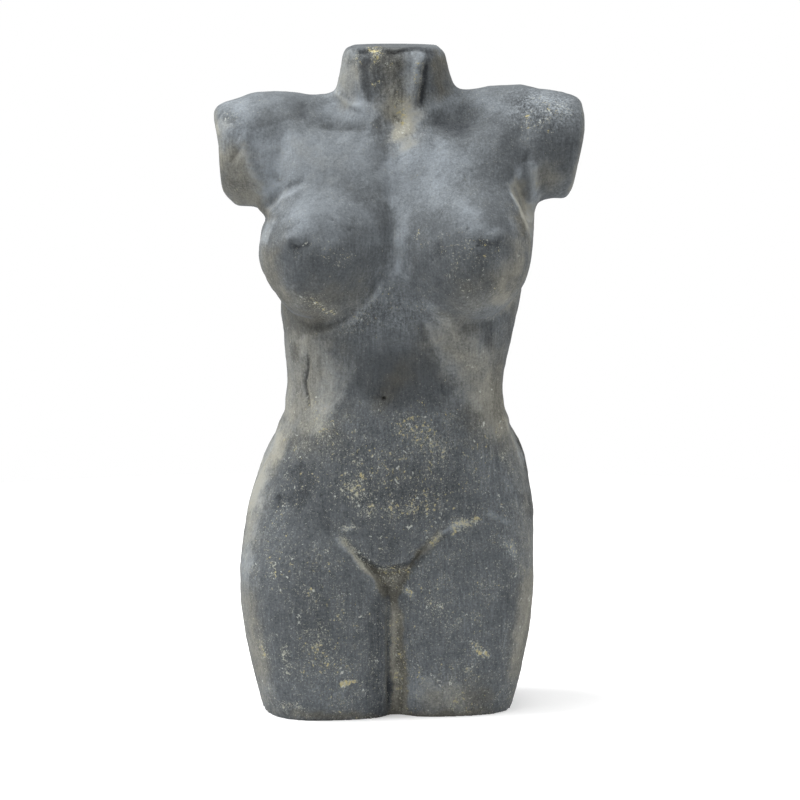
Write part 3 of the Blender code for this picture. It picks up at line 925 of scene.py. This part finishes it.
def lavaStone(f):
    s = Shades("lava_stone")
    where = s.node("TexCoord", {}, {}, "Object")
    mottle = s.noise(where, *f["mottle"])
    spots = s.noise(where, *f["spots"])
    fine = s.noise(where, *f["fine"])
    streak = s.noise(where, *f["streak"])
    brushed = s.noise(where, *f["brushed"])
    grain = s.noise(where, *f["grain"])
    grit = s.layer("grit")
    by = f["dust"]
    pale = s.layer("pale") + (mottle - 0.5) * by["mottle"] + (brushed - 0.5) * by["brushed"]
    rough = f["dustGrit"]
    pale = pale + (spots - 0.5) * (grit * rough["spots"] + by["spots"])
    coarse = (fine - 0.5) * rough["fine"] + (streak - 0.5) * rough["streak"]
    coarse = coarse + (grain - 0.5) * rough["grain"]
    pale = pale + coarse * grit
    cool = s.stops(pale, f["cool"])
    warm = s.stops(pale, f["warm"])
    ragged, low, high = f["warmEdge"]
    colour = s.mix(s.ramp(s.layer("warm") + (spots - 0.5) * ragged, low, high), cool, warm)
    density = s.layer("cream")
    clumps = f["creamClumps"]
    cream = density + (spots - 0.5) * clumps["spots"] + (mottle - 0.5) * clumps["mottle"]
    small = s.noise(where, *f["small"])
    large = s.noise(where, *f["large"])
    flakes = s.noise(where, *f["flakes"])
    holes = s.noise(where, *f["holes"])
    shift, low, high, cover = f["specks"]
    specks = s.ramp(small + cream * shift, low, high) * cover
    shift, low, high, cover = f["lumps"]
    lumps = s.ramp(large + cream * shift, low, high) * cover
    shift, low, high, cover = f["chips"]
    chips = s.ramp(flakes + (fine - 0.5) * f["chipRagged"] + cream * shift, low, high)
    chips = chips * s.ramp(density, *f["chipDensity"]) * cover
    # pores painted dark where the bump sinks them: painted shade in the pits
    low, high, cover = f["pits"]
    colour = s.mix(s.ramp(holes, low, high) * grit * cover, colour, tint(*f["pit"]))
    colour = s.mix(specks, colour, tint(*f["speck"]))
    lumpColour = s.mix(s.ramp(mottle, *f["yellowed"]), tint(*f["speck"]), tint(*f["yellow"]))
    colour = s.mix(lumps, colour, lumpColour)
    colour = s.mix(chips, colour, tint(*f["chip"]))
    s.tree.links.new(colour.socket, s.shader.inputs["Base Color"])
    s.shader.inputs["Roughness"].default_value = f["roughness"]
    s.shader.inputs["Specular IOR Level"].default_value = f["gloss"]
    r = f["relief"]
    height = grain * r["grain"] + fine * r["fine"] + small * r["small"] + spots * r["spots"]
    height = height + streak * r["streak"] - holes * r["holes"]
    strength, distance = f["bump"]
    bump = s.node("Bump", {}, {"Strength": strength, "Distance": distance, "Height": height}, "Normal")
    s.tree.links.new(bump.socket, s.shader.inputs["Normal"])
    return s.material


torso.data.materials.append(lavaStone(finish))
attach(torso, "root")
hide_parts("torso")
print("stone finish done")

studio = {
    "surround": 0.27,  # light from the white room
    "backdrop": 1.0,  # what the camera sees of it
    "floor": (0.76, 0.76, 0.76, 1.0),
    "floorGlow": 0.3,  # keeps the shadow as faint as on a lit white table
    "floorRoughness": 0.9,
    "floorRadius": 1.6,  # m: small enough to be lit as white as the backdrop behind it
    "floorSides": 64,
    "aim": (0.0, 0.0, 0.4),
    "distance": 2.6,
    # degrees round from the front (below 0 to the left) and up, width in m, watts
    "lights": {
        "left_high": (-88, 58, 1.4, 74.0),
        "left_low": (-98, 28, 1.4, 26.0),
        "left_front": (-50, 48, 1.4, 12.0),
        "top": (0, 85, 1.4, 46.0),
        "right": (92, 42, 1.4, 34.0),
    },
}


def makeLamp(name, turn, up, width, watts, s):
    a, e = math.radians(turn), math.radians(up)
    way = Vector((math.sin(a) * math.cos(e), -math.cos(a) * math.cos(e), math.sin(e)))
    data = bpy.data.lights.new("light_" + name, "AREA")
    data.shape = "DISK"
    data.energy = watts
    data.size = width
    lamp = bpy.data.objects.new("light_" + name, data)
    lamp.location = Vector(s["aim"]) + way * s["distance"]
    lamp.rotation_euler = (-way).to_track_quat("-Z", "Y").to_euler()
    bpy.context.collection.objects.link(lamp)


def makeRoom(s):
    world = bpy.data.worlds.new("white_room")
    world.use_nodes = True
    tree = world.node_tree
    shade = tree.nodes["Background"]
    shade.inputs["Color"].default_value = (1, 1, 1, 1)
    shade.inputs["Strength"].default_value = s["surround"]
    shown = tree.nodes.new("ShaderNodeBackground")
    shown.inputs["Strength"].default_value = s["backdrop"]
    shown.inputs["Color"].default_value = (1, 1, 1, 1)
    path = tree.nodes.new("ShaderNodeLightPath")
    mix = tree.nodes.new("ShaderNodeMixShader")
    tree.links.new(path.outputs["Is Camera Ray"], mix.inputs[0])
    tree.links.new(shade.outputs[0], mix.inputs[1])
    tree.links.new(shown.outputs[0], mix.inputs[2])
    tree.links.new(mix.outputs[0], tree.nodes["World Output"].inputs["Surface"])
    bpy.context.scene.world = world


def makeFloor(s):
    bm = bmesh.new()
    bmesh.ops.create_circle(bm, cap_ends=True, segments=s["floorSides"], radius=s["floorRadius"])
    mesh = bpy.data.meshes.new("floor")
    bm.to_mesh(mesh)
    bm.free()
    floor = bpy.data.objects.new("floor", mesh)
    bpy.context.collection.objects.link(floor)
    white = bpy.data.materials.new("white_floor")
    white.use_nodes = True
    shader = white.node_tree.nodes["Principled BSDF"]
    shader.inputs["Base Color"].default_value = s["floor"]
    shader.inputs["Roughness"].default_value = s["floorRoughness"]
    shader.inputs["Emission Color"].default_value = (1, 1, 1, 1)
    shader.inputs["Emission Strength"].default_value = s["floorGlow"]
    mesh.materials.append(white)


makeRoom(studio)
for lampName, values in studio["lights"].items():
    makeLamp(lampName, *values, studio)
makeFloor(studio)
bpy.context.scene.view_settings.view_transform = "Standard"
print("studio done")
